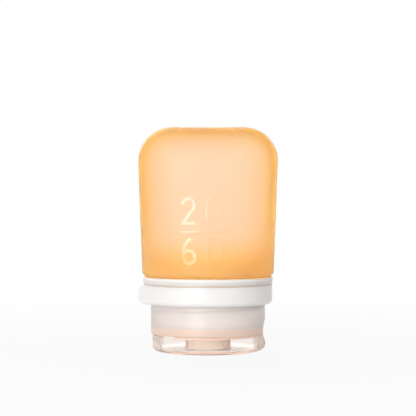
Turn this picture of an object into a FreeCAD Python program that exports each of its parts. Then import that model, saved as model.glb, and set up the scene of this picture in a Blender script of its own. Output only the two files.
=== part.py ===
"""Travel squeeze bottle: a soft silicone bottle that stands on its flip-top screw cap.

Millimetres, +Z up. The origin is the middle of the lid's flat outer face, on which the bottle stands.
The lid opens towards -X, its finger lip is at +X, and the front of the bottle faces -Y.
"""
import FreeCAD, Part
import os
import re

import Sketcher
from FreeCAD import Placement, Rotation, Vector

SIZES = {
    # Silicone bottle: a round foot on the collar that widens into an oval closed end
    "foot_diameter": 43.2,
    "end_width": 46.8,
    "end_depth": 39.4,
    "end_corner": 13.5,
    "front_angle": 8.0,
    "side_angle": 10.0,
    "body_height": 48.85,
    "body_wall": 2.0,
    "floor_wall": 2.4,
    "end_fillet": 11.3,
    "foot_fillet": 1.8,
    "cavity_fillet": 9.0,
    "shoulder_width": 9.0,
    "mouth_wall": 1.6,
    "bead_reach": 1.5,
    "bead_height": 0.65,
    "bead_fit": 0.1,
    # White collar ring that clamps the bottle's bead against the neck's brim
    "collar_inset": 0.2,
    "collar_height": 1.4,
    "collar_lip": 0.6,
    "collar_fillet": 0.4,
    # White threaded neck
    "neck_fit": 0.1,
    "neck_wall": 1.4,
    "neck_length": 14.05,
    "brim_inset": 0.2,
    "brim_wall": 0.65,
    "brim_fillet": 0.1,
    "rim_fillet": 0.4,
    # Screw thread, the same ridge on the neck and inside the cap
    "thread_pitch": 3.4,
    "thread_turns": 1.3,
    "thread_height": 1.2,
    "thread_root": 2.0,
    "thread_crest": 1.0,
    "thread_gap": 0.4,
    "thread_start": 1.9,
    "thread_bite": 0.3,
    # Gasket on the cap's deck
    "seal_height": 1.2,
    "seal_width": 4.0,
    "seal_gap": 0.05,
    "seal_fillet": 0.3,
    # Translucent cap with its deck and spout
    "base_wall": 1.5,
    "base_gap": 0.05,
    "base_rim_wall": 0.4,
    "base_rim_inset": 0.05,
    "base_fillet": 0.4,
    "deck_wall": 1.2,
    "locator_drop": 0.8,
    "locator_wall": 0.7,
    "locator_gap": 0.3,
    "locator_angle": 130.0,
    "spout_radius": 6.2,
    "spout_reach": 3.3,
    "spout_fillet": 0.5,
    "orifice_radius": 3.2,
    "orifice_lip": 1.0,
    "chamber_radius": 4.9,
    "seat_wall": 1.2,
    "seat_rim": 0.25,
    # Slit valve and the ring that holds it
    "valve_radius": 6.6,
    "valve_brim": 0.9,
    "valve_fit": 0.1,
    "valve_skin": 0.7,
    "valve_drop": 2.9,
    "valve_dish": 0.6,
    "sleeve_radius": 4.5,
    "slit_length": 4.4,
    "slit_width": 0.15,
    "retainer_height": 1.4,
    "retainer_bore": 3.8,
    "retainer_fillet": 0.3,
    # Clear lid
    "lid_height": 5.45,
    "lid_gap": 0.25,
    "lid_inset": 0.4,
    "lid_back_inset": 0.73,
    "lid_wall": 1.1,
    "lid_plate": 1.0,
    "lid_fillet": 2.0,
    "lid_inner_fillet": 0.9,
    "lid_rim_fillet": 0.3,
    "skirt_gap": 0.5,
    "skirt_wall": 0.8,
    "skirt_drop": 0.9,
    "skirt_fillet": 0.25,
    "lip_reach": 0.5,
    "lip_radius": 9.0,
    "lip_height": 4.45,
    "lip_slope": 1.2,
    # Finger scoop across the cap and the lid's lip
    "scoop_radius": 8.5,
    "scoop_depth": 0.9,
    "scoop_rise": 1.25,
    # Lid hinge
    "hinge_inset": 1.6,
    "hinge_drop": 1.65,
    "hinge_width": 10.0,
    "hinge_gap": 0.3,
    "knuckle_radius": 1.0,
    "lug_width": 3.6,
    "lug_notch": 1.8,
    "pin_radius": 0.5,
    "pin_fit": 0.04,
    "pin_chamfer": 0.15,
    # White strap: a swinging front band and a fixed rear band
    "strap_gap": 0.3,
    "strap_wall": 2.05,
    "strap_height": 6.35,
    "strap_drop": 0.5,
    "strap_fillet": 1.65,
    "strap_edge": 0.15,
    "anchor_fit": 0.05,
    "tab_length": 9.55,
    "tab_fillet": 3.1,
    "tab_angle": -145.0,
    "anchor_end_angle": 184.0,
    "strap_hinge_angle": 30.0,
    "strap_joint_angle": 5.5,
    "strap_web": 2.6,
    "barrel_radius": 1.5,
    "ear_height": 1.25,
    "ear_gap": 0.3,
    "strap_pin_radius": 0.7,
    # Length by which cuts run past what they cut
    "overrun": 1.0,
}

TOLERANCE = 1e-4

# Heights above the face that the bottle stands on, from the lid upwards
DECK_Z = "(lid_height + lid_gap)"
DECK_TOP = f"({DECK_Z} + deck_wall)"
SEAL_Z = f"({DECK_TOP} + seal_gap)"
NECK_RIM = f"({SEAL_Z} + seal_height + seal_gap)"
BRIM_Z = f"({NECK_RIM} + neck_length)"
COLLAR_Z = f"({BRIM_Z} + brim_wall)"
FOOT_Z = f"({COLLAR_Z} + collar_height)"
END_Z = f"({FOOT_Z} + body_height)"
BASE_TOP = f"({BRIM_Z} - base_gap)"
STRAP_TOP = f"({BRIM_Z} - strap_drop)"
STRAP_Z = f"({STRAP_TOP} - strap_height)"
HINGE_Z = f"({DECK_Z} - hinge_drop)"
SPOUT_END = f"({DECK_Z} - spout_reach)"
VALVE_TOP = f"({DECK_TOP} + valve_brim)"
RETAINER_TOP = f"({VALVE_TOP} + retainer_height)"

# Radii, from the bottle's mouth outwards
MOUTH = "(foot_diameter / 2 - shoulder_width)"
MOUTH_OUT = f"({MOUTH} + mouth_wall)"
BEAD = f"({MOUTH_OUT} + bead_reach)"
NECK_BORE = f"({MOUTH_OUT} + neck_fit)"
NECK_OUT = f"({NECK_BORE} + neck_wall)"
MALE_CREST = f"({NECK_OUT} + thread_height)"
FEMALE_CREST = f"({NECK_OUT} + thread_gap)"
BASE_BORE = f"({MALE_CREST} + thread_gap)"
BASE_OUT = f"({BASE_BORE} + base_wall)"
LID_OUT = f"({BASE_OUT} - lid_inset)"
LID_BORE = f"({LID_OUT} - lid_wall)"
HINGE_X = f"(hinge_inset - {BASE_OUT})"
STRAP_IN = f"({BASE_OUT} + strap_gap)"
STRAP_OUT = f"({STRAP_IN} + strap_wall)"
STRAP_PIN = f"({STRAP_IN} + barrel_radius)"
SEAT_IN = "(valve_radius + valve_fit)"
COLLAR_OUT = "(foot_diameter / 2 - collar_inset)"
BRIM_OUT = f"({COLLAR_OUT} - brim_inset)"

doc = FreeCAD.newDocument("travel_bottle")
sheet = doc.addObject("Spreadsheet::Sheet", "Sizes")
for row, (alias, size) in enumerate(SIZES.items(), start=1):
    sheet.set(f"A{row}", str(size))
    sheet.setAlias(f"A{row}", alias)
doc.recompute()


def bound(text):
    """Write the names of sizes in a text as references to their cells."""
    return re.sub("[a-z_]+", lambda word: f"Sizes.{word[0]}" if word[0] in SIZES else word[0], text)


def number(text):
    """Work out a text of named sizes."""
    return float(sheet.evalExpression(bound(text)))


def new_body(label):
    body = doc.addObject("PartDesign::Body", label)
    body.Label = label
    return body


def new_sketch(body, name, role, rise="0", turn=None):
    """Attach a sketch to one of the body's planes, shifted along its normal or turned about Z."""
    drawing = body.newObject("Sketcher::SketchObject", f"{body.Label}_{name}")
    plane = next(item for item in body.Origin.OriginFeatures if item.Role == role)
    drawing.AttachmentSupport = (plane, [""])
    drawing.MapMode = "FlatFace"
    if turn is not None:
        upright = Vector(0, 0, 1) if role == "XY_Plane" else Vector(0, 1, 0)
        drawing.AttachmentOffset = Placement(Vector(), Rotation(upright, number(turn)))
        drawing.setExpression("AttachmentOffset.Rotation.Angle", bound(turn))
    drawing.setExpression("AttachmentOffset.Base.z", bound(rise))
    return drawing


def hold_point(drawing, piece, end, place):
    """Tie one point of a sketch to its place from the origin."""
    for kind, text in zip(("DistanceX", "DistanceY"), place):
        index = drawing.addConstraint(Sketcher.Constraint(kind, -1, 1, piece, end, number(text)))
        drawing.setExpression(f"Constraints[{index}]", bound(text))


def hold_radius(drawing, piece, radius):
    index = drawing.addConstraint(Sketcher.Constraint("Radius", piece, number(radius)))
    drawing.setExpression(f"Constraints[{index}]", bound(radius))


def shifted(place, direction, step):
    """Move a place by a step along a level or upright direction."""
    return tuple(f"({text} + ({round(part)}) * ({step}))" for text, part in zip(place, direction))


def point(place):
    return Vector(number(place[0]), number(place[1]), 0)


def draw_path(drawing, path):
    """Draw a closed path of places. An arc starts at a place that has a radius and the way it bulges."""
    pieces = []
    for i, (place, radius, bulge) in enumerate(path):
        start, end = point(place), point(path[(i + 1) % len(path)][0])
        line = Part.LineSegment(start, end)
        if radius:
            size = number(radius)
            sagitta = size - (size ** 2 - (end - start).Length ** 2 / 4) ** 0.5
            line = Part.Arc(start, (start + end) / 2 + bulge * sagitta, end)
        index = drawing.addGeometry(line, False)
        forward = drawing.getPoint(index, 1).isEqual(start, TOLERANCE)
        pieces.append((index, 1, 2) if forward else (index, 2, 1))
    for i, (place, radius, bulge) in enumerate(path):
        before, piece = pieces[i - 1], pieces[i]
        drawing.addConstraint(Sketcher.Constraint("Coincident", before[0], before[2], piece[0], piece[1]))
        hold_point(drawing, piece[0], piece[1], place)
        if radius:
            hold_radius(drawing, piece[0], radius)


def draw_outline(drawing, corners):
    """Draw a closed outline. A corner's third entry is the radius that rounds it."""
    places = [corner[:2] for corner in corners]
    spots = [point(place) for place in places]
    runs = [(spots[i] - spots[i - 1]).normalize() for i in range(len(spots))]
    path = []
    for i, corner in enumerate(corners):
        run_in, run_out = runs[i], runs[(i + 1) % len(runs)]
        if len(corner) == 2:
            path.append((places[i], None, None))
            continue
        start = shifted(places[i], -run_in, corner[2])
        end = shifted(places[i], run_out, corner[2])
        path.append((start, corner[2], (run_in - run_out).normalize()))
        path.append((end, None, None))
    draw_path(drawing, path)


def draw_circle(drawing, centre, radius):
    index = drawing.addGeometry(Part.Circle(point(centre), Vector(0, 0, 1), number(radius)), False)
    hold_point(drawing, index, 3, centre)
    hold_radius(drawing, index, radius)


def draw_oval(drawing, width, depth, corner):
    """Draw an oval of eight tangent arcs: four corners, and flatter arcs at the front, back and sides.

    Each arc turns through the same angle in every such oval, so ovals of other sizes join smoothly.
    """
    wide = f"(({width}) / 2 - ({corner}))"
    deep = f"(({depth}) / 2 - ({corner}))"
    front_rise, side_rise = "(1 - cos(front_angle))", "(1 - cos(side_angle))"
    divisor = f"(sin(front_angle) * sin(side_angle) - {front_rise} * {side_rise})"
    front = f"(({wide} * sin(side_angle) - {deep} * {side_rise}) / {divisor})"
    side = f"(({deep} * sin(front_angle) - {wide} * {front_rise}) / {divisor})"
    side_x = f"({front} * sin(front_angle) + ({corner}) * cos(side_angle))"
    side_y = f"(({side} + ({corner})) * sin(side_angle))"
    front_x = f"(({front} + ({corner})) * sin(front_angle))"
    front_y = f"({side} * sin(side_angle) + ({corner}) * cos(front_angle))"
    radii = (f"({side} + ({corner}))", corner, f"({front} + ({corner}))", corner)
    places = [
        (side_x, f"-{side_y}"), (side_x, side_y), (front_x, front_y), (f"-{front_x}", front_y),
        (f"-{side_x}", side_y), (f"-{side_x}", f"-{side_y}"), (f"-{front_x}", f"-{front_y}"),
        (front_x, f"-{front_y}"),
    ]
    path = []
    for i, place in enumerate(places):
        chord = point(places[(i + 1) % len(places)]) - point(place)
        path.append((place, radii[i % len(radii)], Vector(chord.y, -chord.x, 0).normalize()))
    draw_path(drawing, path)


def add_feature(body, kind, name, drawing):
    feature = body.newObject(f"PartDesign::{kind}", f"{body.Label}_{name}")
    feature.Profile = drawing
    return feature


def revolve(body, name, corners, turn=None, angle="360", kind="Revolution"):
    """Turn an outline of radius and height about the bottle's axis, to add it or as a Groove."""
    drawing = new_sketch(body, f"{name}_outline", "XZ_Plane", turn=turn)
    draw_outline(drawing, corners)
    feature = add_feature(body, kind, name, drawing)
    feature.ReferenceAxis = (drawing, ["V_Axis"])
    feature.setExpression("Angle", bound(angle))
    doc.recompute()


def extrude(body, kind, name, drawing, length, both_ways=False):
    """Pad a drawing along its normal, or cut it, one way or both ways alike."""
    before = body.Shape.Volume if body.Tip else 0
    feature = add_feature(body, kind, name, drawing)
    feature.SideType = "Symmetric" if both_ways else "One side"
    feature.Reversed = kind == "Pocket" and not both_ways
    feature.setExpression("Length", bound(length))
    doc.recompute()
    grew = body.Shape.Volume > before
    if grew != (kind == "Pad") or body.Shape.Volume == before:
        raise RuntimeError(f"{feature.Name} does not change the solid as it should")


def across(body, kind, name, length, corners=None, circle=None):
    """Pad or cut a side view, even to the front and the back."""
    drawing = new_sketch(body, f"{name}_view", "XZ_Plane")
    if corners:
        draw_outline(drawing, corners)
    else:
        draw_circle(drawing, *circle)
    extrude(body, kind, name, drawing, length, both_ways=True)


def upwards(body, kind, name, rise, length, corners=None, circle=None, turn=None):
    """Pad or cut a plan view, from a height upwards."""
    drawing = new_sketch(body, f"{name}_plan", "XY_Plane", rise, turn)
    if corners:
        draw_outline(drawing, corners)
    else:
        draw_circle(drawing, *circle)
    extrude(body, kind, name, drawing, length)


def level_edges(body, height):
    """Name the edges that lie flat at one height."""
    names = []
    for index, edge in enumerate(body.Tip.Shape.Edges, start=1):
        box = edge.BoundBox
        if max(abs(box.ZMin - number(height)), abs(box.ZMax - number(height))) < TOLERANCE:
            names.append(f"Edge{index}")
    return names


def dress(body, kind, name, edges, size):
    """Round or chamfer edges of the body as it stands."""
    tip = body.Tip
    feature = body.newObject(f"PartDesign::{kind}", f"{body.Label}_{name}")
    feature.Base = (tip, edges)
    feature.setExpression("Radius" if kind == "Fillet" else "Size", bound(size))
    doc.recompute()


def bottle_form(label, foot, end, end_rounding, foot_rounding):
    """Join a round foot to an oval end by straight sides, and round both edges."""
    body = new_body(label)
    round_plan = new_sketch(body, "foot_plan", "XY_Plane", foot[0])
    draw_oval(round_plan, f"2 * ({foot[1]})", f"2 * ({foot[1]})", foot[1])
    oval_plan = new_sketch(body, "end_plan", "XY_Plane", end[0])
    draw_oval(oval_plan, *end[1:])
    feature = add_feature(body, "AdditiveLoft", "sides", oval_plan)
    feature.Sections = [round_plan]
    feature.Ruled = True
    doc.recompute()
    dress(body, "Fillet", "end_rounding", level_edges(body, end[0]), end_rounding)
    dress(body, "Fillet", "foot_rounding", level_edges(body, foot[0]), foot_rounding)
    return body


def thread(body, root, crest, middle):
    """Wind one ridge about the axis, from the +X side upwards."""
    drawing = new_sketch(body, "ridge", "XZ_Plane")
    draw_outline(drawing, [
        (root, f"{middle} - thread_root / 2"),
        (crest, f"{middle} - thread_crest / 2"),
        (crest, f"{middle} + thread_crest / 2"),
        (root, f"{middle} + thread_root / 2"),
    ])
    feature = add_feature(body, "AdditiveHelix", "thread", drawing)
    feature.ReferenceAxis = (drawing, ["V_Axis"])
    feature.Mode = "pitch-turns-angle"
    feature.setExpression("Pitch", bound("thread_pitch"))
    feature.setExpression("Turns", bound("thread_turns"))
    doc.recompute()


def bottle_body():
    """Soft bottle whose lip passes through the collar and ends in a bead that the collar clamps."""
    cavity_z = f"({FOOT_Z} + floor_wall)"
    cavity_end = f"({END_Z} - body_wall)"
    bead_top = f"({FOOT_Z} - collar_lip - bead_fit)"
    bead_z = f"({bead_top} - bead_height)"
    foot = (FOOT_Z, "foot_diameter / 2")
    end = (END_Z, "end_width", "end_depth", "end_corner")
    outside = bottle_form("bottle_outside", foot, end, "end_fillet", "foot_fillet")
    revolve(outside, "lip", [
        ("0", bead_z),
        (BEAD, bead_z),
        (BEAD, bead_top),
        (MOUTH_OUT, bead_top),
        (MOUTH_OUT, cavity_z),
        ("0", cavity_z),
    ])
    foot = (cavity_z, "foot_diameter / 2 - body_wall")
    end = (cavity_end, "end_width - 2 * body_wall", "end_depth - 2 * body_wall", "end_corner - body_wall")
    hollow = bottle_form("bottle_hollow", foot, end, "end_fillet - body_wall", "cavity_fillet")
    bore_z = f"({bead_z} - overrun)"
    bore = (("0", "0"), MOUTH)
    upwards(hollow, "Pad", "mouth_bore", bore_z, f"{cavity_z} + floor_wall - {bore_z}", circle=bore)
    body = doc.addObject("Part::Cut", "bottle_body")
    body.Base = outside
    body.Tool = hollow
    return body


def collar_ring():
    body = new_body("collar_ring")
    pocket = f"({BEAD} + bead_fit)"
    revolve(body, "ring", [
        (NECK_BORE, f"{FOOT_Z} - collar_lip"),
        (NECK_BORE, FOOT_Z),
        (COLLAR_OUT, FOOT_Z, "collar_fillet"),
        (COLLAR_OUT, COLLAR_Z, "collar_fillet"),
        (pocket, COLLAR_Z),
        (pocket, f"{FOOT_Z} - collar_lip"),
    ][::-1])
    return body


def threaded_neck():
    body = new_body("threaded_neck")
    revolve(body, "tube", [
        (NECK_BORE, NECK_RIM),
        (NECK_OUT, NECK_RIM, "rim_fillet"),
        (NECK_OUT, BRIM_Z),
        (BRIM_OUT, BRIM_Z, "brim_fillet"),
        (BRIM_OUT, COLLAR_Z),
        (NECK_BORE, COLLAR_Z),
    ])
    thread(body, f"({NECK_OUT} - thread_bite)", MALE_CREST, f"({NECK_RIM} + thread_start)")
    return body


def cap_seal():
    body = new_body("cap_seal")
    outside = f"({BASE_BORE} - thread_gap)"
    inside = f"({outside} - seal_width)"
    revolve(body, "gasket", [
        (inside, SEAL_Z, "seal_fillet"),
        (outside, SEAL_Z, "seal_fillet"),
        (outside, f"{SEAL_Z} + seal_height", "seal_fillet"),
        (inside, f"{SEAL_Z} + seal_height", "seal_fillet"),
    ])
    return body


def scoop(body):
    """Hollow out the finger scoop that crosses the cap's edge and the lid's lip."""
    centre = (f"{BASE_OUT} + scoop_radius - scoop_depth", f"{DECK_Z} + scoop_rise")
    across(body, "Pocket", "scoop", f"2 * {BASE_OUT}", circle=(centre, "scoop_radius"))


def hinge_hole(body):
    centre = (HINGE_X, HINGE_Z)
    across(body, "Pocket", "pin_hole", "hinge_width + overrun", circle=(centre, "pin_radius + pin_fit"))


def cap_base():
    """Screw cap with a rim over the strap, a spout, a valve seat, and a ring and a hinge lug for the lid."""
    body = new_body("cap_base")
    rim_out = f"({STRAP_OUT} - base_rim_inset)"
    chamber_floor = f"({SPOUT_END} + orifice_lip)"
    seat_top = f"({RETAINER_TOP} + seat_rim)"
    revolve(body, "shell", [
        ("orifice_radius", SPOUT_END),
        ("spout_radius", SPOUT_END, "spout_fillet"),
        ("spout_radius", DECK_Z),
        (BASE_OUT, DECK_Z, "base_fillet"),
        (BASE_OUT, f"{BASE_TOP} - base_rim_wall"),
        (rim_out, f"{BASE_TOP} - base_rim_wall"),
        (rim_out, BASE_TOP),
        (BASE_BORE, BASE_TOP, "base_fillet"),
        (BASE_BORE, DECK_TOP),
        (f"{SEAT_IN} + seat_wall", DECK_TOP),
        (f"{SEAT_IN} + seat_wall", seat_top),
        (SEAT_IN, seat_top),
        (SEAT_IN, DECK_TOP),
        ("chamber_radius", DECK_TOP),
        ("chamber_radius", chamber_floor),
        ("orifice_radius", chamber_floor),
    ])
    locator_out = f"({LID_BORE} - locator_gap)"
    locator_in = f"({locator_out} - locator_wall)"
    locator_z = f"({DECK_Z} - locator_drop)"
    revolve(body, "locator", [
        (locator_in, locator_z),
        (locator_out, locator_z),
        (locator_out, DECK_TOP),
        (locator_in, DECK_TOP),
    ], turn="-locator_angle", angle="2 * locator_angle")
    ridge = f"({NECK_RIM} + thread_start + thread_pitch / 2)"
    thread(body, f"({BASE_BORE} + thread_bite)", FEMALE_CREST, ridge)
    across(body, "Pad", "lug", "lug_width", corners=[
        (f"{HINGE_X} - knuckle_radius", HINGE_Z),
        (f"{HINGE_X} + knuckle_radius", HINGE_Z),
        (f"{HINGE_X} + knuckle_radius", DECK_TOP),
        (f"{HINGE_X} - knuckle_radius", DECK_TOP),
    ])
    across(body, "Pad", "lug_end", "lug_width", circle=((HINGE_X, HINGE_Z), "knuckle_radius"))
    hinge_hole(body)
    scoop(body)
    return body


def outlet_valve():
    """Slit valve: a brim in the seat, a sleeve down into the spout and a dished head with crossed slits."""
    body = new_body("outlet_valve")
    head = f"({DECK_TOP} - valve_drop)"
    inside = "(sleeve_radius - valve_skin)"
    revolve(body, "dome", [
        ("0", f"{head} + valve_dish"),
        ("sleeve_radius", head),
        ("sleeve_radius", DECK_TOP),
        ("valve_radius", DECK_TOP),
        ("valve_radius", VALVE_TOP),
        (inside, VALVE_TOP),
        (inside, f"{head} + valve_skin"),
        ("0", f"{head} + valve_dish + valve_skin"),
    ])
    slits = (("slit", "slit_length", "slit_width"), ("cross_slit", "slit_width", "slit_length"))
    for name, wide, deep in slits:
        cut = [(f"{a} * {wide} / 2", f"{b} * {deep} / 2") for a, b in ((-1, -1), (1, -1), (1, 1), (-1, 1))]
        upwards(body, "Pocket", name, head, "valve_drop", corners=cut)
    return body


def valve_retainer():
    body = new_body("valve_retainer")
    outside = f"({SEAT_IN} - valve_fit)"
    revolve(body, "ring", [
        ("retainer_bore", VALVE_TOP),
        (outside, VALVE_TOP),
        (outside, RETAINER_TOP, "retainer_fillet"),
        ("retainer_bore", RETAINER_TOP, "retainer_fillet"),
    ])
    return body


def flip_lid():
    """Clear lid: a shallow cup with a skirt round the spout, a finger lip and two hinge knuckles."""
    body = new_body("flip_lid")
    skirt_in = "(spout_radius + skirt_gap)"
    skirt_out = f"({skirt_in} + skirt_wall)"
    skirt_top = f"({DECK_Z} - skirt_drop)"
    revolve(body, "cup", [
        ("0", "0"),
        (LID_OUT, "0", "lid_fillet"),
        (LID_OUT, "lid_height", "lid_rim_fillet"),
        ("0", "lid_height"),
    ])
    lip_centre = (f"{LID_OUT} + lip_reach - lip_radius", "0")
    lip_z = "(lid_height - lip_height)"
    upwards(body, "Pad", "lip", lip_z, "lip_height", circle=(lip_centre, "lip_radius"))
    clear = f"({LID_OUT} + lip_reach + overrun)"
    revolve(body, "lip_underside", [
        (LID_OUT, lip_z),
        (clear, lip_z),
        (clear, f"{lip_z} + lip_slope * (lip_reach + overrun) / lip_reach"),
    ], kind="Groove")
    revolve(body, "inside", [
        ("0", "lid_plate"),
        (skirt_in, "lid_plate"),
        (skirt_in, skirt_top, "skirt_fillet"),
        (skirt_out, skirt_top, "skirt_fillet"),
        (skirt_out, "lid_plate"),
        (LID_BORE, "lid_plate", "lid_inner_fillet"),
        (LID_BORE, "lid_height", "lid_rim_fillet"),
        (LID_OUT, "lid_height"),
        (LID_OUT, "lid_height + overrun"),
        ("0", "lid_height + overrun"),
    ], kind="Groove")
    back = f"(lid_back_inset - {BASE_OUT})"
    room = f"({HINGE_X} + knuckle_radius + hinge_gap)"
    cuts = (
        ("back", back, "0", f"2 * {BASE_OUT}"),
        ("hinge_room", room, HINGE_Z, "hinge_width + 2 * hinge_gap"),
    )
    for name, edge, floor, length in cuts:
        across(body, "Pocket", name, length, corners=[
            (f"-{BASE_OUT} - overrun", floor),
            (edge, floor),
            (edge, "lid_height + overrun"),
            (f"-{BASE_OUT} - overrun", "lid_height + overrun"),
        ])
    across(body, "Pad", "knuckles", "hinge_width", circle=((HINGE_X, HINGE_Z), "knuckle_radius"))
    notch_z = f"({HINGE_Z} - lug_notch)"
    across(body, "Pocket", "lug_room", "lug_width + 2 * hinge_gap", corners=[
        (f"-{BASE_OUT} - overrun", notch_z),
        (room, notch_z),
        (room, "lid_height + overrun"),
        (f"-{BASE_OUT} - overrun", "lid_height + overrun"),
    ])
    hinge_hole(body)
    scoop(body)
    return body


def lid_hinge_pin():
    body = new_body("lid_hinge_pin")
    across(body, "Pad", "shaft", "hinge_width", circle=((HINGE_X, HINGE_Z), "pin_radius"))
    edges = [f"Edge{i}" for i, edge in enumerate(body.Tip.Shape.Edges, start=1) if edge.isClosed()]
    dress(body, "Chamfer", "ends", edges, "pin_chamfer")
    return body


def band_outline(inside):
    """Cross-section of the strap, rounded most at its lower outer edge."""
    return [
        (inside, STRAP_Z),
        (STRAP_OUT, STRAP_Z, "strap_fillet"),
        (STRAP_OUT, STRAP_TOP, "strap_edge"),
        (inside, STRAP_TOP),
    ]


def hinge_leaf(body, name, side, rise, length):
    """Add a round hinge eye and the web that ties it to the band on one side of the pin."""
    corners = [
        (STRAP_IN, "0"),
        (STRAP_OUT, "0"),
        (STRAP_OUT, f"{side} * strap_web"),
        (STRAP_IN, f"{side} * strap_web"),
    ]
    upwards(body, "Pad", f"{name}_web", rise, length, corners=corners, turn="strap_hinge_angle")
    eye = ((STRAP_PIN, "0"), "barrel_radius")
    upwards(body, "Pad", f"{name}_eye", rise, length, circle=eye, turn="strap_hinge_angle")


def strap_pin_hole(body):
    hole = ((STRAP_PIN, "0"), "strap_pin_radius + pin_fit")
    upwards(body, "Pocket", "pin_hole", STRAP_Z, "strap_height", circle=hole, turn="strap_hinge_angle")


def round_tab(body):
    """Cut the pull tab's end to a half round, seen square to the tab."""
    end = "(-tab_length)"
    clear, inner = f"({end} - overrun)", f"({end} + tab_fillet + overrun)"
    view = new_sketch(body, "tab_end_view", "YZ_Plane", turn="tab_angle")
    draw_outline(view, [
        (clear, f"{STRAP_Z} - overrun"),
        (inner, f"{STRAP_Z} - overrun"),
        (inner, STRAP_Z),
        (end, STRAP_Z, "tab_fillet"),
        (end, STRAP_TOP, "tab_fillet"),
        (inner, STRAP_TOP),
        (inner, f"{STRAP_TOP} + overrun"),
        (clear, f"{STRAP_TOP} + overrun"),
    ])
    extrude(body, "Pocket", "tab_end", view, f"{STRAP_OUT} + overrun")


def loop_strap():
    """Front band that swings out on its pin, with a straight pull tab that leaves it at a tangent."""
    body = new_body("loop_strap")
    sweep = "strap_hinge_angle - strap_joint_angle - tab_angle"
    revolve(body, "band", band_outline(STRAP_IN), turn="tab_angle", angle=sweep)
    tab = new_sketch(body, "tab_outline", "XZ_Plane", turn="tab_angle")
    draw_outline(tab, band_outline(STRAP_IN))
    extrude(body, "Pad", "tab", tab, "tab_length")
    round_tab(body)
    rise = f"({STRAP_Z} + ear_height + ear_gap)"
    hinge_leaf(body, "barrel", -1, rise, "strap_height - 2 * (ear_height + ear_gap)")
    strap_pin_hole(body)
    return body


def strap_anchor():
    """Rear band, fixed round the cap, with the two ears that hold the strap's pin."""
    body = new_body("strap_anchor")
    start = "strap_hinge_angle + strap_joint_angle"
    band = band_outline(f"({BASE_OUT} + anchor_fit)")
    revolve(body, "band", band, turn=start, angle=f"anchor_end_angle - ({start})")
    for name, rise in (("lower_ear", STRAP_Z), ("upper_ear", f"({STRAP_TOP} - ear_height)")):
        hinge_leaf(body, name, 1, rise, "ear_height")
    strap_pin_hole(body)
    return body


def strap_hinge_pin():
    body = new_body("strap_hinge_pin")
    pin = ((STRAP_PIN, "0"), "strap_pin_radius")
    upwards(body, "Pad", "shaft", STRAP_Z, "strap_height", circle=pin, turn="strap_hinge_angle")
    edges = level_edges(body, STRAP_Z) + level_edges(body, STRAP_TOP)
    dress(body, "Chamfer", "ends", edges, "pin_chamfer")
    return body


BUILDERS = (
    bottle_body, collar_ring, threaded_neck, cap_seal, cap_base, outlet_valve, valve_retainer,
    flip_lid, lid_hinge_pin, loop_strap, strap_anchor, strap_hinge_pin,
)
pieces = [build() for build in BUILDERS]
doc.recompute()

for item in doc.Objects:
    if "Invalid" in item.State or "Error" in item.State:
        raise RuntimeError(f"{item.Name} failed: {item.State}")
for piece in pieces:
    if piece.Shape.isNull() or not piece.Shape.isValid() or len(piece.Shape.Solids) != 1:
        raise RuntimeError(f"{piece.Label} is not one valid solid")

os.makedirs("parts", exist_ok=True)
for piece in pieces:
    piece.Shape.exportStep(f"parts/{piece.Label}.step")
    print(f"{piece.Label}: {piece.Shape.Volume:.1f} mm3")
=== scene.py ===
"""Looks of the travel squeeze bottle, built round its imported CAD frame.

Metres, +Z up. The bottle stands on its lid at the origin and its front faces -Y.
"""
import math

import bpy
import numpy as np
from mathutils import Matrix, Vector


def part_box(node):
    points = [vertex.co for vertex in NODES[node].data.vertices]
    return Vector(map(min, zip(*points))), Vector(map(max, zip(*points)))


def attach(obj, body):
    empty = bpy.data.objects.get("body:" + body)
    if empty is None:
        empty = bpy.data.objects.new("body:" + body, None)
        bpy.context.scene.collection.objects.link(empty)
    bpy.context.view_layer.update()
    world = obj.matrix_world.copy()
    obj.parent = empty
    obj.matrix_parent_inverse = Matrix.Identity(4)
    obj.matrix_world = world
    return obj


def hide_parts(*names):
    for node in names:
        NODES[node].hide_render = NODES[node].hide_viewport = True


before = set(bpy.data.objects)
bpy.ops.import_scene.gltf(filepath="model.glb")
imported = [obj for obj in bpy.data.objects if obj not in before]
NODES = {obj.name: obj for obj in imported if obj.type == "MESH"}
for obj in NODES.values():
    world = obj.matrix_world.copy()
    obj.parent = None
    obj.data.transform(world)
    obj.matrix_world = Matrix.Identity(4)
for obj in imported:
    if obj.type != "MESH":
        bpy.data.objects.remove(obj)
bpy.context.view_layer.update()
TINY = 1e-12

# Silicone body, with the CAD model's sizes and a slight sag of its closed end
FOOT_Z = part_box("collar_ring")[1][2]
END_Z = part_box("bottle_body")[1][2]
FOOT_RADIUS = 0.0216
END_HALF_WIDTH = 0.0234
END_HALF_DEPTH = 0.0197
END_CORNER = 0.0135
FRONT_TURN = math.radians(8)
SIDE_TURN = math.radians(10)
END_ROUND = 0.0113
FOOT_ROUND = 0.0018
END_SAG = 0.00018
WALL = 0.002
FLOOR_WALL = 0.0024
FLOOR_ROUND = 0.009
MOUTH_RADIUS = 0.0126
MOUTH_OUT = 0.0142
BEAD_RADIUS = 0.0157
BEAD_TOP = FOOT_Z - 0.0007
BEAD_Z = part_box("bottle_body")[0][2]

# Its mesh: steps on the rounded edges, rings across the closed end, and step lengths on the walls
FOOT_STEPS = 6
END_STEPS = 18
INNER_END_STEPS = 14
FLOOR_STEPS = 11
END_SHRINKS = (0.85, 0.65, 0.45, 0.25)
FINE_STEP = 0.0002
COARSE_STEP = 0.0013
INNER_STEP = 0.0026
SHARP_ANGLE = math.radians(50)

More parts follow.
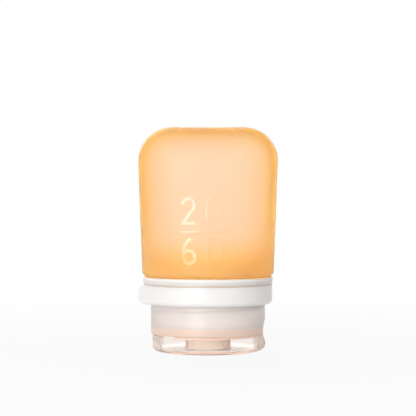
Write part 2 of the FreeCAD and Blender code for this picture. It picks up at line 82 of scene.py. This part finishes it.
# Raised numerals on the front: stroke lines, and the patch of fine mesh that carries them
DIGIT_HEIGHT = 0.0078
DIGIT_WIDTH = 0.0041
STROKE_HALF = 0.0007
RULE_HALF = 0.0005
STROKE_EDGE = 0.00022
STROKE_RISE = 0.0001
ARC_POINTS = 25
TWO_ARC = (165, -38)
SIX_ARC = (180, 97)
SIX_STEM = 0.8 * DIGIT_WIDTH
TENS_X = -0.0081
UNITS_X = 0.0002
DOT_X = -0.0024
UPPER_Z = FOOT_Z + 0.0177
LOWER_Z = FOOT_Z + 0.0049
RULE_Z = FOOT_Z + 0.0150
RULE_ENDS = (-0.0085, 0.0088)
PATCH_HALF = 0.0125
PATCH_HEIGHTS = (FOOT_Z + 0.0036, FOOT_Z + 0.0272)

# Haze: where the see-through pieces turn milky, by height, distance from the axis or distance along X
# Their shares also paint colour: a deeper orange at the foot for light filtered through thick silicone, and a
# pale orange glow at the deck, rim and plug for the orange bottle's light shining through
FOOT_HAZE_AND_PAINTED_DEPTH = (FOOT_Z + 0.005, FOOT_Z + 0.018)
FOOT_FADE = 2.0
DECK_HAZE_AND_PAINTED_GLOW = (0.0077, 0.0084)
RIM_HAZE_AND_PAINTED_GLOW = (0.0215, 0.0217)
PLUG_HAZE_AND_PAINTED_GLOW = (0.0074, 0.0078)
LID_END_HAZE = (0.0150, 0.0172)
LID_END_SHARE = 0.6

# Shader nodes: span and detail of noise, bump, the polish of the marks, and the places of the Mix node's
# sockets, several of which share a name
NOISE_SPAN = (0.3, 0.7)
COLOUR_DETAIL = 3.0
BUMP_DETAIL = 2.0
BUMP_STRENGTH = 0.35
MARK_ROUGHNESS = 0.14
MIX_NUMBERS = (2, 3)
MIX_COLOURS = (6, 7)
MIX_COLOUR_OUT = 2

# Camera: level, square to the front, with the photo's distance and height
CAMERA_PLACE = (0.0, -0.459, END_Z - 0.0263)
CAMERA_LENS = 120.5
CAMERA_SENSOR = 36
CAMERA_NEAR = 0.01

# Stage: the floor, the share of the white behind it that shows through near the bottle, and the even
# light on the object
FLOOR_HALF = 3.0
FLOOR_TONE = (0.93, 0.93, 0.93)
SHADOW_REACH = (0.05, 0.30)
NEAR_WHITE_SHARE = 0.88
WORLD_LIGHT = 0.42

# Lamps: name, place, side of the soft box, watts, and whether it is kept from showing through clear pieces
LAMPS = (
    ("key", (-0.235, -0.55, 0.09), 0.30, 2.35, True),
    ("fill", (0.45, -0.40, 0.25), 0.40, 0.3, False),
    ("back", (-0.10, 0.45, 0.30), 0.40, 1.0, True),
)
LAMP_AIM = (0, 0, 0.04)

# Limit that tells a ray with no bounce of a kind from one with some
HALF_BOUNCE = 0.5


def oval_reach():
    """How much longer than the corner radius the end's front and side arcs are."""
    wide, deep = END_HALF_WIDTH - END_CORNER, END_HALF_DEPTH - END_CORNER
    front_rise, side_rise = 1 - math.cos(FRONT_TURN), 1 - math.cos(SIDE_TURN)
    divisor = math.sin(FRONT_TURN) * math.sin(SIDE_TURN) - front_rise * side_rise
    front = (wide * math.sin(SIDE_TURN) - deep * side_rise) / divisor
    side = (deep * math.sin(FRONT_TURN) - wide * front_rise) / divisor
    return front, side


FRONT_REACH, SIDE_REACH = oval_reach()


def end_arc(angle):
    """Centre and radius of the arc of the oval end whose normal points along an angle."""
    right, back = math.cos(angle), math.sin(angle)
    lean = math.atan2(abs(back), abs(right))
    x, y, radius = FRONT_REACH * math.sin(FRONT_TURN), SIDE_REACH * math.sin(SIDE_TURN), END_CORNER
    if lean < SIDE_TURN:
        radius = END_CORNER + SIDE_REACH
        x, y = END_HALF_WIDTH - radius, 0
    elif lean > math.pi / 2 - FRONT_TURN:
        radius = END_CORNER + FRONT_REACH
        x, y = 0, END_HALF_DEPTH - radius
    return Vector((math.copysign(1, right) * x, math.copysign(1, back) * y)), radius


def section_point(angle, height, inset):
    """Point of the body's outline at a height, set in from the surface."""
    share = (height - FOOT_Z) / (END_Z - FOOT_Z)
    centre, radius = end_arc(angle)
    normal = Vector((math.cos(angle), math.sin(angle)))
    reach = (1 - share) * FOOT_RADIUS + share * radius - inset
    return share * centre + reach * normal


def column_angles():
    """Angles of the mesh's columns, close together across the numerals."""
    middle = sum(PATCH_HEIGHTS) / 2
    share = (middle - FOOT_Z) / (END_Z - FOOT_Z)
    angle, angles = -math.pi, []
    while angle < math.pi:
        angles.append(angle)
        on_patch = math.sin(angle) < 0 and abs(section_point(angle, middle, 0).x) < PATCH_HALF
        speed = (1 - share) * FOOT_RADIUS + share * end_arc(angle)[1]
        angle += (FINE_STEP if on_patch else COARSE_STEP) / speed
    return angles


ANGLES = column_angles()


def circle_ring(radius, height):
    return [(radius * math.cos(angle), radius * math.sin(angle), height) for angle in ANGLES]


def body_ring(height, inset=0.0, shrink=1.0):
    return [(*(shrink * section_point(angle, height, inset)), height) for angle in ANGLES]


def steps(low, high, step):
    """Even heights from low to high, about a step apart."""
    count = max(1, round((high - low) / step))
    return [low + (high - low) * i / count for i in range(count + 1)]


def quarter(count):
    """Angles of a quarter turn in even steps."""
    return [math.pi / 2 * i / count for i in range(count + 1)]


def outer_rings():
    """Rings from the bead at the mouth up the outside to the closed end."""
    rings = [circle_ring(BEAD_RADIUS, BEAD_Z), circle_ring(BEAD_RADIUS, BEAD_TOP)]
    rings += [circle_ring(MOUTH_OUT, BEAD_TOP), circle_ring(MOUTH_OUT, FOOT_Z)]
    for turn in quarter(FOOT_STEPS):
        inset = FOOT_ROUND * (1 - math.sin(turn))
        rings.append(body_ring(FOOT_Z + FOOT_ROUND * (1 - math.cos(turn)), inset))
    low, high = PATCH_HEIGHTS
    heights = steps(FOOT_Z + FOOT_ROUND, low, COARSE_STEP)[1:] + steps(low, high, FINE_STEP)[1:]
    heights += steps(high, END_Z - END_ROUND, COARSE_STEP)[1:-1]
    rings += [body_ring(height) for height in heights]
    for turn in quarter(END_STEPS):
        inset = END_ROUND * (1 - math.cos(turn))
        rings.append(body_ring(END_Z - END_ROUND * (1 - math.sin(turn)), inset))
    rings += [body_ring(END_Z, END_ROUND, shrink) for shrink in END_SHRINKS]
    return rings


def inner_rings():
    """Rings from the closed end down the inside to the mouth."""
    rings = [body_ring(END_Z - WALL, END_ROUND, shrink) for shrink in reversed(END_SHRINKS)]
    for turn in reversed(quarter(INNER_END_STEPS)):
        inset = END_ROUND - (END_ROUND - WALL) * math.cos(turn)
        rings.append(body_ring(END_Z - END_ROUND + (END_ROUND - WALL) * math.sin(turn), inset))
    floor = FOOT_Z + FLOOR_WALL
    heights = steps(floor + FLOOR_ROUND, END_Z - END_ROUND, INNER_STEP)[1:-1]
    rings += [body_ring(height, WALL) for height in reversed(heights)]
    mouth_turn = math.asin(1 - (FOOT_RADIUS - WALL - MOUTH_RADIUS) / FLOOR_ROUND)
    for turn in np.linspace(math.pi / 2, mouth_turn, FLOOR_STEPS + 1)[:-1]:
        inset = WALL + FLOOR_ROUND * (1 - math.sin(turn))
        rings.append(body_ring(floor + FLOOR_ROUND * (1 - math.cos(turn)), inset))
    mouth_z = floor + FLOOR_ROUND * (1 - math.cos(mouth_turn))
    return rings + [circle_ring(MOUTH_RADIUS, mouth_z), circle_ring(MOUTH_RADIUS, BEAD_Z)]


def arc_line(centre_x, centre_z, reach_x, reach_z, start, end):
    """Points of an elliptic arc between two angles in degrees."""
    turns = np.radians(np.linspace(start, end, ARC_POINTS))
    return np.stack([centre_x + reach_x * np.cos(turns), centre_z + reach_z * np.sin(turns)], axis=1)


def digit_lines(digit):
    """Stroke lines of a plain 0, 2 or 6, from its lower left corner."""
    width, height, half = DIGIT_WIDTH, DIGIT_HEIGHT, DIGIT_WIDTH / 2
    if digit == "0":
        over = arc_line(half, height - half, half, half, 0, 180)
        under = arc_line(half, half, half, half, 180, 360)
        return [np.concatenate([over, under, over[:1]])]
    if digit == "2":
        over = arc_line(half, height - half, half, half, *TWO_ARC)
        return [np.concatenate([over, [[0, 0], [width, 0]]])]
    bowl = arc_line(half, half, half, half, 0, 360)
    stem = arc_line(SIX_STEM, half, SIX_STEM, height - half, *SIX_ARC)
    return [bowl, stem]


def mark_lines():
    """Stroke lines of all marks on the front, as x and z, each with half its width."""
    lines = [(np.array([[RULE_ENDS[0], RULE_Z], [RULE_ENDS[1], RULE_Z]]), RULE_HALF)]
    lines.append((np.array([[DOT_X, UPPER_Z], [DOT_X + FINE_STEP, UPPER_Z]]), STROKE_HALF))
    for tens, units, z in (("2", "0", UPPER_Z), ("6", "0", LOWER_Z)):
        for digit, x in ((tens, TENS_X), (units, UNITS_X)):
            lines += [(line + (x, z), STROKE_HALF) for line in digit_lines(digit)]
    return lines


def line_distance(points, line):
    """Distance of points from a broken line."""
    nearest = np.full(len(points), np.inf)
    for start, end in zip(line[:-1], line[1:]):
        run = end - start
        along = np.clip((points - start) @ run / max(run @ run, TINY), 0, 1)
        nearest = np.minimum(nearest, np.linalg.norm(points - start - along[:, None] * run, axis=1))
    return nearest


def mark_share(places):
    """How far each point stands on a mark: 1 on a stroke, 0 off it, smooth between."""
    share = np.zeros(len(places))
    low, high = PATCH_HEIGHTS
    x, y, z = places.T
    on_front = (y < 0) & (np.hypot(x, y) > FOOT_RADIUS - WALL / 2)
    near = on_front & (np.abs(x) < PATCH_HALF) & (z > low) & (z < high)
    flat = places[near][:, (0, 2)]
    depth = np.max([half - line_distance(flat, line) for line, half in mark_lines()], axis=0)
    ramp = np.clip(depth / STROKE_EDGE + 0.5, 0, 1)
    share[near] = ramp * ramp * (3 - 2 * ramp)
    return share


def skin_faces(outside, rings, count):
    """Bands between neighbouring rings, and the two fans that close the end outside and inside."""
    faces = []
    for level in range(rings):
        if level == outside - 1:
            continue
        above = (level + 1) % rings
        for i in range(count):
            j = (i + 1) % count
            faces.append((level * count + i, level * count + j, above * count + j, above * count + i))
    top, roof = rings * count, rings * count + 1
    last, first = (outside - 1) * count, outside * count
    for i in range(count):
        j = (i + 1) % count
        faces.append((last + i, last + j, top))
        faces.append((first + j, first + i, roof))
    return faces


def silicone_body():
    """Soft bottle: outside, hollow, lip and bead in one closed skin."""
    outside, inside = outer_rings(), inner_rings()
    rings, count = outside + inside, len(ANGLES)
    places = np.array([place for ring in rings for place in ring] + [(0, 0, END_Z), (0, 0, END_Z - WALL)])
    share = mark_share(places)
    normals = places * (1, 1, 0)
    normals /= np.maximum(np.linalg.norm(normals, axis=1), TINY)[:, None]
    places += STROKE_RISE * share[:, None] * normals
    lift = np.clip((places[:, 2] - (END_Z - END_ROUND)) / END_ROUND, 0, 1)
    middle = np.clip(1 - (places[:, 0] / (END_HALF_WIDTH - END_ROUND)) ** 2, 0, 1)
    places[:, 2] -= END_SAG * lift ** 2 * middle
    mesh = bpy.data.meshes.new("silicone_body")
    mesh.from_pydata(places.tolist(), [], skin_faces(len(outside), len(rings), count))
    mesh.shade_smooth()
    mesh.set_sharp_from_angle(angle=SHARP_ANGLE)
    outer = np.arange(len(places)) < len(outside) * count
    for name, values in (("mark", share), ("outside", outer)):
        mesh.attributes.new(name, "FLOAT", "POINT").data.foreach_set("value", values.astype(np.float32))
    piece = bpy.data.objects.new("silicone_body", mesh)
    bpy.context.scene.collection.objects.link(piece)
    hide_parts("bottle_body")
    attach(piece, "bottle")
    return piece


def feed(tree, socket, value):
    """Link a socket to another one, or set it to a constant."""
    if isinstance(value, bpy.types.NodeSocket):
        tree.links.new(value, socket)
    else:
        socket.default_value = value


def math_node(tree, operation, *values):
    """Result of a Math node on values, each a constant or a socket."""
    node = tree.nodes.new("ShaderNodeMath")
    node.operation = operation
    for socket, value in zip(node.inputs, values):
        feed(tree, socket, value)
    return node.outputs[0]


class Finish:
    """A procedural material: one surface shader, with noise that varies its colour, gloss and bump."""

    def __init__(self, name, **constants):
        self.material = bpy.data.materials.new(name)
        self.material.use_nodes = True
        self.tree = self.material.node_tree
        self.shader = self.tree.nodes["Principled BSDF"]
        for socket, value in constants.items():
            self.shader.inputs[socket.replace("_", " ")].default_value = value
        self.place = self.tree.nodes.new("ShaderNodeTexCoord").outputs["Object"]

    def node(self, kind, **settings):
        node = self.tree.nodes.new(f"ShaderNode{kind}")
        for name, value in settings.items():
            setattr(node, name, value)
        return node

    def link(self, start, end):
        self.tree.links.new(start, end)

    def drive(self, socket, value):
        """Link one of the shader's own sockets."""
        self.link(value, self.shader.inputs[socket])

    def math(self, operation, *values):
        return math_node(self.tree, operation, *values)

    def attribute(self, name):
        return self.node("Attribute", attribute_name=name).outputs["Fac"]

    def along(self, axis):
        """Where a point lies along an axis."""
        node = self.node("SeparateXYZ")
        self.link(self.place, node.inputs[0])
        return node.outputs[axis]

    def from_axis(self):
        """How far a point lies from the bottle's axis."""
        level = self.node("VectorMath", operation="MULTIPLY")
        level.inputs[1].default_value = (1, 1, 0)
        reach = self.node("VectorMath", operation="LENGTH")
        self.link(self.place, level.inputs[0])
        self.link(level.outputs["Vector"], reach.inputs[0])
        return reach.outputs["Value"]

    def noise(self, grain, detail=COLOUR_DETAIL):
        """Noise whose features are about a grain across."""
        node = self.node("TexNoise")
        node.inputs["Scale"].default_value = 1 / grain
        node.inputs["Detail"].default_value = detail
        self.link(self.place, node.inputs["Vector"])
        return node.outputs["Fac"]

    def ramp(self, value, low, high, start=NOISE_SPAN[0], end=NOISE_SPAN[1]):
        """Spread a value onto a range of numbers."""
        node = self.node("MapRange")
        for socket, number in (("From Min", start), ("From Max", end), ("To Min", low), ("To Max", high)):
            node.inputs[socket].default_value = number
        self.link(value, node.inputs["Value"])
        return node.outputs["Result"]

    def mix(self, share, first, second):
        """Mix two numbers, each a constant or a socket."""
        node = self.node("Mix", data_type="FLOAT")
        self.link(share, node.inputs["Factor"])
        for place, number in zip(MIX_NUMBERS, (first, second)):
            feed(self.tree, node.inputs[place], number)
        return node.outputs[0]

    def blend(self, share, first, second):
        """Mix two colours, each a constant or a socket."""
        node = self.node("Mix", data_type="RGBA")
        self.link(share, node.inputs["Factor"])
        for place, colour in zip(MIX_COLOURS, (first, second)):
            constant = isinstance(colour, tuple)
            feed(self.tree, node.inputs[place], (*colour, 1) if constant else colour)
        return node.outputs[MIX_COLOUR_OUT]

    def drift(self, grain, first, second):
        """A colour that drifts between two tones."""
        return self.blend(self.ramp(self.noise(grain), 0, 1), first, second)

    def roughness(self, grain, low, high):
        self.drive("Roughness", self.ramp(self.noise(grain), low, high))

    def bump(self, grain, depth):
        """Fine grain of the moulded surface."""
        node = self.node("Bump")
        node.inputs["Strength"].default_value = BUMP_STRENGTH
        node.inputs["Distance"].default_value = depth
        self.link(self.noise(grain, BUMP_DETAIL), node.inputs["Height"])
        self.drive("Normal", node.outputs["Normal"])

    def depth_colour(self, colour, density):
        """Let the stuff itself take up light, so that deep places are more coloured than thin ones."""
        node = self.node("VolumeAbsorption")
        node.inputs["Color"].default_value = (*colour, 1)
        node.inputs["Density"].default_value = density
        self.link(node.outputs["Volume"], self.tree.nodes["Material Output"].inputs["Volume"])

    def milky(self, share, pale, deep, clear, cloudy):
        """Turn the stuff from clear to cloudy, and from one colour to another, by a share."""
        self.drive("Transmission Weight", self.ramp(share, clear, cloudy, 0, 1))
        self.drive("Base Color", self.blend(share, pale, deep))


def silicone_finish():
    """Matt translucent silicone whose orange deepens with the wall's depth, and whose marks are polished.
    Towards the foot it turns cloudy, and a deeper orange is painted in there for light filtered through the
    thick floor and neck.
    """
    finish = Finish("orange_silicone", IOR=1.05, Coat_IOR=1.41)
    outside = finish.attribute("outside")
    finish.drive("Coat Weight", outside)
    fade = finish.math("POWER", finish.ramp(finish.along("Z"), 1, 0, *FOOT_HAZE_AND_PAINTED_DEPTH), FOOT_FADE)
    foot = finish.math("MULTIPLY", fade, outside)
    pale = finish.drift(grain=0.02, first=(0.985, 0.83, 0.93), second=(0.985, 0.85, 0.96))
    # Painted depth: a warmer, then deeper orange towards the foot stands in for light filtered through the
    # thick floor and neck, on top of the cloudiness there
    warm = finish.blend(foot, pale, (1.0, 0.84, 0.72))
    finish.milky(foot, pale=warm, deep=(1.0, 0.765, 0.32), clear=0.93, cloudy=0.58)
    finish.roughness(grain=0.004, low=0.72, high=0.8)
    matt = finish.ramp(finish.noise(grain=0.004), low=0.5, high=0.58)
    finish.drive("Coat Roughness", finish.mix(finish.attribute("mark"), matt, MARK_ROUGHNESS))
    finish.bump(grain=0.0005, depth=0.00004)
    finish.depth_colour((1.0, 0.885, 0.0), density=205.0)
    return finish.material


def white_finish():
    """Satin white plastic with a soft inner glow."""
    finish = Finish("white_plastic", IOR=1.49, Subsurface_Weight=0.4, Subsurface_Scale=0.002,
                    Subsurface_Radius=(1.0, 0.9, 0.85))
    tone = finish.drift(grain=0.012, first=(0.92, 0.90, 0.885), second=(0.94, 0.925, 0.91))
    finish.drive("Base Color", tone)
    finish.roughness(grain=0.003, low=0.33, high=0.42)
    finish.bump(grain=0.0006, depth=0.00002)
    return finish.material


def hazy_finish():
    """Hazy translucent plastic of the screw cap, milkier at its deck, its spout and its upper rim. There a
    pale orange glow is painted in, standing in for the orange bottle's light shining through the cap.
    """
    finish = Finish("translucent_plastic", IOR=1.1, Coat_Weight=1.0, Coat_IOR=1.49, Coat_Roughness=0.3)
    height = finish.along("Z")
    deck = finish.ramp(height, 1, 0, *DECK_HAZE_AND_PAINTED_GLOW)
    rim = finish.ramp(height, 0, 1, *RIM_HAZE_AND_PAINTED_GLOW)
    pale = finish.drift(grain=0.01, first=(0.98, 0.935, 0.91), second=(0.99, 0.95, 0.93))
    # Painted glow: this pale orange at the deck, spout and rim stands in for light from the orange silicone
    # shining through
    painted_orange_glow = finish.blend(rim, (0.98, 0.77, 0.64), (1.0, 0.76, 0.60))
    finish.milky(finish.math("MAXIMUM", deck, rim), pale, deep=painted_orange_glow, clear=0.55, cloudy=0.2)
    finish.roughness(grain=0.004, low=0.78, high=0.86)
    finish.bump(grain=0.0007, depth=0.00002)
    finish.depth_colour((0.98, 0.73, 0.50), density=45.0)
    return finish.material


def clear_finish():
    """Clear plastic of the lid, milky at its plug and ends, with a warm tint where it is deep. At the plug a
    pale orange is painted in, standing in for the orange bottle's light shining through the spout, and the
    ends take 0.6 of that colour.
    """
    finish = Finish("clear_plastic", IOR=1.1)
    plug = finish.ramp(finish.from_axis(), 1, 0, *PLUG_HAZE_AND_PAINTED_GLOW)
    ends = finish.ramp(finish.math("ABSOLUTE", finish.along("X")), 0, LID_END_SHARE, *LID_END_HAZE)
    pale = finish.drift(grain=0.012, first=(0.98, 0.955, 0.94), second=(0.985, 0.965, 0.95))
    # Painted glow: the pale orange deep colour at the plug stands in for light from the orange bottle shining
    # through the spout
    finish.milky(finish.math("MAXIMUM", plug, ends), pale, deep=(1.0, 0.88, 0.77), clear=1.0, cloudy=0.0)
    finish.roughness(grain=0.004, low=0.1, high=0.16)
    finish.bump(grain=0.002, depth=0.00002)
    finish.depth_colour((0.97, 0.66, 0.45), density=32.0)
    return finish.material


def rubber_finish(name, first, second):
    """Small silicone pieces inside the cap."""
    finish = Finish(name, IOR=1.41, Subsurface_Weight=0.5, Subsurface_Scale=0.002,
                    Subsurface_Radius=(1.0, 0.6, 0.35))
    finish.drive("Base Color", finish.drift(grain=0.006, first=first, second=second))
    finish.roughness(grain=0.003, low=0.38, high=0.48)
    finish.bump(grain=0.0005, depth=0.00003)
    return finish.material


def dress(piece, material):
    piece.data.materials.clear()
    piece.data.materials.append(material)


def dress_all(body):
    dress(body, silicone_finish())
    white = white_finish()
    hazy = hazy_finish()
    finishes = {
        "collar_ring": white, "threaded_neck": white, "loop_strap": white, "strap_anchor": white,
        "lid_hinge_pin": white, "strap_hinge_pin": white, "cap_base": hazy, "valve_retainer": hazy,
        "flip_lid": clear_finish(),
        "cap_seal": rubber_finish("seal_silicone", (1.0, 0.70, 0.48), (1.0, 0.75, 0.55)),
        "outlet_valve": rubber_finish("valve_silicone", (1.0, 0.68, 0.46), (1.0, 0.74, 0.54)),
    }
    for node, material in finishes.items():
        dress(NODES[node], material)


def add_camera():
    camera = bpy.data.objects.new("camera", bpy.data.cameras.new("camera"))
    camera.location = CAMERA_PLACE
    camera.rotation_euler = (math.pi / 2, 0, 0)
    camera.data.lens = CAMERA_LENS
    camera.data.sensor_width = CAMERA_SENSOR
    camera.data.clip_start = CAMERA_NEAR
    bpy.context.scene.collection.objects.link(camera)
    bpy.context.scene.camera = camera


def seen_directly(tree):
    """1 for rays from the camera, off gloss or through clear pieces, and 0 for rays that light the object."""
    rays = tree.nodes.new("ShaderNodeLightPath").outputs
    passed_on = math_node(tree, "MAXIMUM", rays["Is Glossy Ray"], rays["Is Transmission Ray"])
    return math_node(tree, "MAXIMUM", rays["Is Camera Ray"], passed_on)


def add_world():
    """White to the eye, and a plain even light for the object."""
    world = bpy.data.worlds.new("studio")
    world.use_nodes = True
    tree = world.node_tree
    strength = tree.nodes.new("ShaderNodeMapRange")
    strength.inputs["To Min"].default_value = WORLD_LIGHT
    strength.inputs["To Max"].default_value = 1.0
    tree.links.new(seen_directly(tree), strength.inputs["Value"])
    tree.links.new(strength.outputs["Result"], tree.nodes["Background"].inputs["Strength"])
    tree.nodes["Background"].inputs["Color"].default_value = (1, 1, 1, 1)
    bpy.context.scene.world = world


def floor_finish():
    """Pale matt floor that holds the shadow near the bottle and goes over to the white behind it further off.

    It is a thin veil to the eye and clear from below, so a piece that opens downwards can be seen under it.
    """
    material = bpy.data.materials.new("floor")
    material.use_nodes = True
    tree = material.node_tree
    tree.nodes.remove(tree.nodes["Principled BSDF"])
    matt = tree.nodes.new("ShaderNodeBsdfDiffuse")
    matt.inputs["Color"].default_value = (*FLOOR_TONE, 1)
    clear = tree.nodes.new("ShaderNodeBsdfTransparent")
    distance = tree.nodes.new("ShaderNodeVectorMath")
    distance.operation = "LENGTH"
    tree.links.new(tree.nodes.new("ShaderNodeTexCoord").outputs["Object"], distance.inputs[0])
    white = tree.nodes.new("ShaderNodeMapRange")
    white.inputs["From Min"].default_value, white.inputs["From Max"].default_value = SHADOW_REACH
    white.inputs["To Min"].default_value = NEAR_WHITE_SHARE
    tree.links.new(distance.outputs["Value"], white.inputs["Value"])
    veil = math_node(tree, "MULTIPLY", seen_directly(tree), white.outputs["Result"])
    below = tree.nodes.new("ShaderNodeNewGeometry").outputs["Backfacing"]
    mix = tree.nodes.new("ShaderNodeMixShader")
    tree.links.new(math_node(tree, "MAXIMUM", veil, below), mix.inputs["Fac"])
    tree.links.new(matt.outputs[0], mix.inputs[1])
    tree.links.new(clear.outputs[0], mix.inputs[2])
    tree.links.new(mix.outputs[0], tree.nodes["Material Output"].inputs["Surface"])
    return material


def add_floor():
    half = FLOOR_HALF
    corners = [(-half, -half, 0), (half, -half, 0), (half, half, 0), (-half, half, 0)]
    mesh = bpy.data.meshes.new("floor")
    mesh.from_pydata(corners, [], [(0, 1, 2, 3)])
    mesh.materials.append(floor_finish())
    floor = bpy.data.objects.new("floor", mesh)
    bpy.context.scene.collection.objects.link(floor)


def add_lamp(name, place, size, power):
    """Square soft box that faces the bottle."""
    lamp = bpy.data.lights.new(name, "AREA")
    lamp.energy = power
    lamp.size = size
    holder = bpy.data.objects.new(name, lamp)
    holder.location = place
    aim = Vector(LAMP_AIM) - Vector(place)
    holder.rotation_euler = aim.to_track_quat("-Z", "Y").to_euler()
    bpy.context.scene.collection.objects.link(holder)
    return lamp


def hide_through_clear(lamp):
    """Keep a lamp from glaring straight through clear pieces, though it lights them and what is inside."""
    lamp.use_nodes = True
    tree = lamp.node_tree
    rays = tree.nodes.new("ShaderNodeLightPath").outputs
    bounces = math_node(tree, "MAXIMUM", rays["Diffuse Depth"], rays["Glossy Depth"])
    bounced = math_node(tree, "GREATER_THAN", bounces, HALF_BOUNCE)
    open_sight = math_node(tree, "LESS_THAN", rays["Transmission Depth"], HALF_BOUNCE)
    shown = math_node(tree, "MAXIMUM", bounced, open_sight)
    tree.links.new(shown, tree.nodes["Emission"].inputs["Strength"])


def add_studio():
    add_camera()
    add_world()
    add_floor()
    for name, place, size, power, hidden in LAMPS:
        lamp = add_lamp(name, place, size, power)
        if hidden:
            hide_through_clear(lamp)
    bpy.context.scene.view_settings.view_transform = "Standard"


dress_all(silicone_body())
add_studio()
